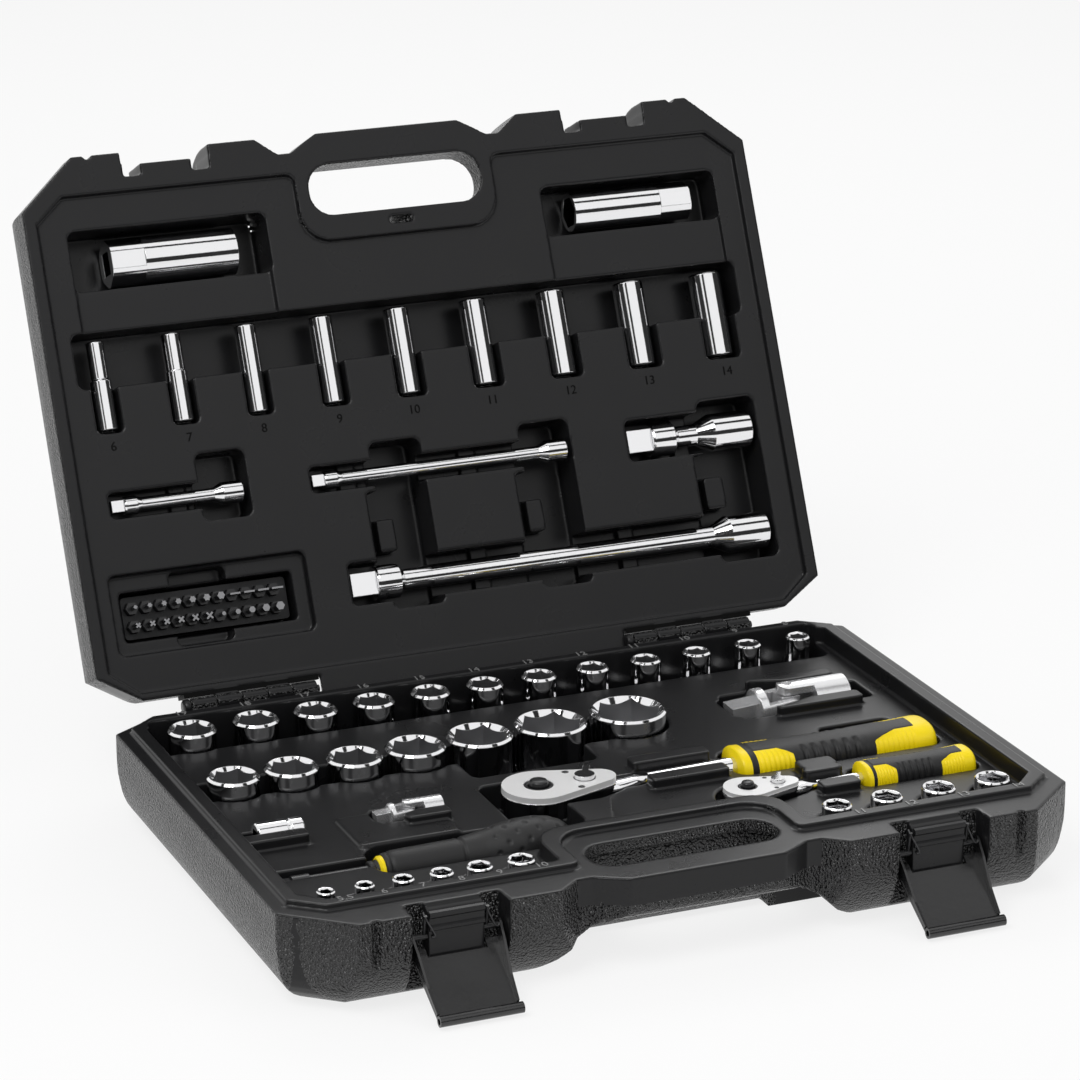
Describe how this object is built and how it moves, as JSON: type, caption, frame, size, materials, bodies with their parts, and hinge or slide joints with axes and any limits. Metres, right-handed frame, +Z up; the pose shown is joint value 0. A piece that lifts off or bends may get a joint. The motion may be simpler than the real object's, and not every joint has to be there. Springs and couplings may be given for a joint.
{
  "type": "socket wrench set in case",
  "caption": "Hinged carrying case with moulded trays that hold ratchets, sockets, extensions, universal joints, a spinner handle and screwdriver bits; lid standing open.",
  "frame": {"origin": "middle of the base's flat underside, under the middle of its width and depth", "axes": "+X to the right of a person who faces the latches, +Y to the hinges, +Z up"},
  "size_m": [0.43, 0.49, 0.3263],
  "materials": {
    "case_plastic": "black moulded plastic: pebbled outside, smooth satin tray inside",
    "rack_plastic": "black satin plastic",
    "latch_paint": "black gloss paint on sheet steel",
    "chrome": "polished chrome plate",
    "steel": "bright and grey satin steel",
    "grip_black": "ribbed matt rubber",
    "grip_yellow": "satin lemon yellow plastic"
  },
  "bodies": {
    "case": {"base_shell": "case_plastic", "hinge_pins": "steel", "latch_springs": "steel"},
    "lid": {"lid_shell": "case_plastic"},
    "latch_left": {"latch_lever_left": "latch_paint"},
    "latch_right": {"latch_lever_right": "latch_paint"},
    "ratchet_half": {"ratchet_half_body": "chrome", "ratchet_half_cover": "chrome", "ratchet_half_grip": "grip_black", "ratchet_half_grip_inlay": "grip_yellow"},
    "ratchet_half_button": {"ratchet_half_button": "chrome"},
    "ratchet_half_lever": {"ratchet_half_lever": "chrome"},
    "ratchet_half_drive": {"ratchet_half_drive": "steel"},
    "ratchet_quarter": {"ratchet_quarter_body": "chrome", "ratchet_quarter_cover": "chrome", "ratchet_quarter_grip": "grip_black", "ratchet_quarter_grip_inlay": "grip_yellow"},
    "ratchet_quarter_button": {"ratchet_quarter_button": "chrome"},
    "ratchet_quarter_lever": {"ratchet_quarter_lever": "chrome"},
    "ratchet_quarter_drive": {"ratchet_quarter_drive": "steel"},
    "spinner": {"spinner_shaft": "chrome", "spinner_ferrule": "grip_yellow", "spinner_grip": "grip_black"},
    "joint_half": {"joint_half_socket_fork": "chrome"},
    "joint_half_cross": {"joint_half_cross": "steel"},
    "joint_half_drive": {"joint_half_drive_fork": "chrome"},
    "joint_quarter": {"joint_quarter_socket_fork": "chrome"},
    "joint_quarter_cross": {"joint_quarter_cross": "steel"},
    "joint_quarter_drive": {"joint_quarter_drive_fork": "chrome"},
    "bit_adapter": {"bit_adapter": "chrome"},
    "socket_19": {"socket_19": "chrome"},
    "socket_18": {"socket_18": "chrome"},
    "socket_17": {"socket_17": "chrome"},
    "socket_16": {"socket_16": "chrome"},
    "socket_15": {"socket_15": "chrome"},
    "socket_14": {"socket_14": "chrome"},
    "socket_13": {"socket_13": "chrome"},
    "socket_12": {"socket_12": "chrome"},
    "socket_11": {"socket_11": "chrome"},
    "socket_10": {"socket_10": "chrome"},
    "socket_9": {"socket_9": "chrome"},
    "socket_8": {"socket_8": "chrome"},
    "socket_20": {"socket_20": "chrome"},
    "socket_21": {"socket_21": "chrome"},
    "socket_22": {"socket_22": "chrome"},
    "socket_24": {"socket_24": "chrome"},
    "socket_27": {"socket_27": "chrome"},
    "socket_30": {"socket_30": "chrome"},
    "socket_32": {"socket_32": "chrome"},
    "sockets_quarter_left": {"sockets_quarter_left": "chrome"},
    "sockets_quarter_right": {"sockets_quarter_right": "chrome"},
    "extension_half_long": {"extension_half_long": "chrome"},
    "extension_half_short": {"extension_half_short": "chrome"},
    "extension_quarter_long": {"extension_quarter_long": "chrome"},
    "extension_quarter_short": {"extension_quarter_short": "chrome"},
    "sockets_deep": {"sockets_deep": "chrome"},
    "plug_socket_21": {"plug_socket_21": "chrome"},
    "plug_socket_16": {"plug_socket_16": "chrome"},
    "bit_rack": {"bit_rack": "rack_plastic"},
    "bits": {"bits": "steel"}
  },
  "joints": [
    {"name": "lid_hinge", "type": "hinge", "parent": "case", "child": "lid", "pos_m": [0, 0.156, 0.05], "axis": [-1, 0, 0], "range_deg": [-115, 0]},
    {"name": "latch_left_hinge", "type": "hinge", "parent": "case", "child": "latch_left", "pos_m": [-0.1305, -0.1395, 0.034], "axis": [1, 0, 0], "range_deg": [-127, 0]},
    {"name": "latch_right_hinge", "type": "hinge", "parent": "case", "child": "latch_right", "pos_m": [0.1305, -0.1395, 0.034], "axis": [1, 0, 0], "range_deg": [-127, 0]},
    {"name": "ratchet_half_lift", "type": "slide", "parent": "case", "child": "ratchet_half", "axis": [0, 0, 1], "range_m": [0, 0.045]},
    {"name": "ratchet_half_button_press", "type": "slide", "parent": "ratchet_half", "child": "ratchet_half_button", "axis": [0, 0, -1], "range_m": [0, 0.002], "stiffness_N_per_m": 400, "springref_m": -0.0008},
    {"name": "ratchet_half_lever_turn", "type": "hinge", "parent": "ratchet_half", "child": "ratchet_half_lever", "pos_m": [-0.00926, -0.016, 0.0485], "axis": [0, 0, -1], "range_deg": [0, 60]},
    {"name": "ratchet_half_drive_spin", "type": "hinge", "parent": "ratchet_half", "child": "ratchet_half_drive", "pos_m": [-0.035, -0.016, 0.0485], "axis": [0, 0, 1], "continuous": true},
    {"name": "ratchet_quarter_lift", "type": "slide", "parent": "case", "child": "ratchet_quarter", "axis": [0, 0, 1], "range_m": [0, 0.045]},
    {"name": "ratchet_quarter_button_press", "type": "slide", "parent": "ratchet_quarter", "child": "ratchet_quarter_button", "axis": [0, 0, -1], "range_m": [0, 0.002], "stiffness_N_per_m": 250, "springref_m": -0.0008},
    {"name": "ratchet_quarter_lever_turn", "type": "hinge", "parent": "ratchet_quarter", "child": "ratchet_quarter_lever", "pos_m": [0.08016, -0.06, 0.0485], "axis": [0, 0, -1], "range_deg": [0, 60]},
    {"name": "ratchet_quarter_drive_spin", "type": "hinge", "parent": "ratchet_quarter", "child": "ratchet_quarter_drive", "pos_m": [0.063, -0.06, 0.0485], "axis": [0, 0, 1], "continuous": true},
    {"name": "spinner_lift", "type": "slide", "parent": "case", "child": "spinner", "axis": [0, 0, 1], "range_m": [0, 0.045]},
    {"name": "joint_half_lift", "type": "slide", "parent": "case", "child": "joint_half", "axis": [0, 0, 1], "range_m": [0, 0.045]},
    {"name": "joint_half_sideways", "type": "hinge", "parent": "joint_half", "child": "joint_half_cross", "pos_m": [0.142, 0.0575, 0.0405], "axis": [0, 0, 1], "range_deg": [-20, 20]},
    {"name": "joint_half_upward", "type": "hinge", "parent": "joint_half_cross", "child": "joint_half_drive", "pos_m": [0.142, 0.0575, 0.0405], "axis": [0, 1, 0], "range_deg": [0, 50]},
    {"name": "joint_quarter_lift", "type": "slide", "parent": "case", "child": "joint_quarter", "axis": [0, 0, 1], "range_m": [0, 0.045]},
    {"name": "joint_quarter_sideways", "type": "hinge", "parent": "joint_quarter", "child": "joint_quarter_cross", "pos_m": [-0.106, -0.013, 0.044], "axis": [0, 0, 1], "range_deg": [-20, 20]},
    {"name": "joint_quarter_upward", "type": "hinge", "parent": "joint_quarter_cross", "child": "joint_quarter_drive", "pos_m": [-0.106, -0.013, 0.044], "axis": [0, 1, 0], "range_deg": [0, 45]},
    {"name": "bit_adapter_lift", "type": "slide", "parent": "case", "child": "bit_adapter", "axis": [0, 0, 1], "range_m": [0, 0.045]},
    {"name": "socket_19_lift", "type": "slide", "parent": "case", "child": "socket_19", "axis": [0, 0, 1], "range_m": [0, 0.045]},
    {"name": "socket_18_lift", "type": "slide", "parent": "case", "child": "socket_18", "axis": [0, 0, 1], "range_m": [0, 0.045]},
    {"name": "socket_17_lift", "type": "slide", "parent": "case", "child": "socket_17", "axis": [0, 0, 1], "range_m": [0, 0.045]},
    {"name": "socket_16_lift", "type": "slide", "parent": "case", "child": "socket_16", "axis": [0, 0, 1], "range_m": [0, 0.045]},
    {"name": "socket_15_lift", "type": "slide", "parent": "case", "child": "socket_15", "axis": [0, 0, 1], "range_m": [0, 0.045]},
    {"name": "socket_14_lift", "type": "slide", "parent": "case", "child": "socket_14", "axis": [0, 0, 1], "range_m": [0, 0.045]},
    {"name": "socket_13_lift", "type": "slide", "parent": "case", "child": "socket_13", "axis": [0, 0, 1], "range_m": [0, 0.045]},
    {"name": "socket_12_lift", "type": "slide", "parent": "case", "child": "socket_12", "axis": [0, 0, 1], "range_m": [0, 0.045]},
    {"name": "socket_11_lift", "type": "slide", "parent": "case", "child": "socket_11", "axis": [0, 0, 1], "range_m": [0, 0.045]},
    {"name": "socket_10_lift", "type": "slide", "parent": "case", "child": "socket_10", "axis": [0, 0, 1], "range_m": [0, 0.045]},
    {"name": "socket_9_lift", "type": "slide", "parent": "case", "child": "socket_9", "axis": [0, 0, 1], "range_m": [0, 0.045]},
    {"name": "socket_8_lift", "type": "slide", "parent": "case", "child": "socket_8", "axis": [0, 0, 1], "range_m": [0, 0.045]},
    {"name": "socket_20_lift", "type": "slide", "parent": "case", "child": "socket_20", "axis": [0, 0, 1], "range_m": [0, 0.045]},
    {"name": "socket_21_lift", "type": "slide", "parent": "case", "child": "socket_21", "axis": [0, 0, 1], "range_m": [0, 0.045]},
    {"name": "socket_22_lift", "type": "slide", "parent": "case", "child": "socket_22", "axis": [0, 0, 1], "range_m": [0, 0.045]},
    {"name": "socket_24_lift", "type": "slide", "parent": "case", "child": "socket_24", "axis": [0, 0, 1], "range_m": [0, 0.045]},
    {"name": "socket_27_lift", "type": "slide", "parent": "case", "child": "socket_27", "axis": [0, 0, 1], "range_m": [0, 0.045]},
    {"name": "socket_30_lift", "type": "slide", "parent": "case", "child": "socket_30", "axis": [0, 0, 1], "range_m": [0, 0.045]},
    {"name": "socket_32_lift", "type": "slide", "parent": "case", "child": "socket_32", "axis": [0, 0, 1], "range_m": [0, 0.045]},
    {"name": "sockets_quarter_left_lift", "type": "slide", "parent": "case", "child": "sockets_quarter_left", "axis": [0, 0, 1], "range_m": [0, 0.045]},
    {"name": "sockets_quarter_right_lift", "type": "slide", "parent": "case", "child": "sockets_quarter_right", "axis": [0, 0, 1], "range_m": [0, 0.045]},
    {"name": "extension_half_long_lift", "type": "slide", "parent": "lid", "child": "extension_half_long", "axis": [0, -0.9063, 0.4226], "range_m": [0, 0.045]},
    {"name": "extension_half_short_lift", "type": "slide", "parent": "lid", "child": "extension_half_short", "axis": [0, -0.9063, 0.4226], "range_m": [0, 0.045]},
    {"name": "extension_quarter_long_lift", "type": "slide", "parent": "lid", "child": "extension_quarter_long", "axis": [0, -0.9063, 0.4226], "range_m": [0, 0.045]},
    {"name": "extension_quarter_short_lift", "type": "slide", "parent": "lid", "child": "extension_quarter_short", "axis": [0, -0.9063, 0.4226], "range_m": [0, 0.045]},
    {"name": "sockets_deep_lift", "type": "slide", "parent": "lid", "child": "sockets_deep", "axis": [0, -0.9063, 0.4226], "range_m": [0, 0.045]},
    {"name": "plug_socket_21_lift", "type": "slide", "parent": "lid", "child": "plug_socket_21", "axis": [0, -0.9063, 0.4226], "range_m": [0, 0.045]},
    {"name": "plug_socket_16_lift", "type": "slide", "parent": "lid", "child": "plug_socket_16", "axis": [0, -0.9063, 0.4226], "range_m": [0, 0.045]},
    {"name": "bit_rack_lift", "type": "slide", "parent": "lid", "child": "bit_rack", "axis": [0, -0.9063, 0.4226], "range_m": [0, 0.045]},
    {"name": "bits_pull", "type": "slide", "parent": "bit_rack", "child": "bits", "axis": [0, -0.9063, 0.4226], "range_m": [0, 0.022]}
  ]
}
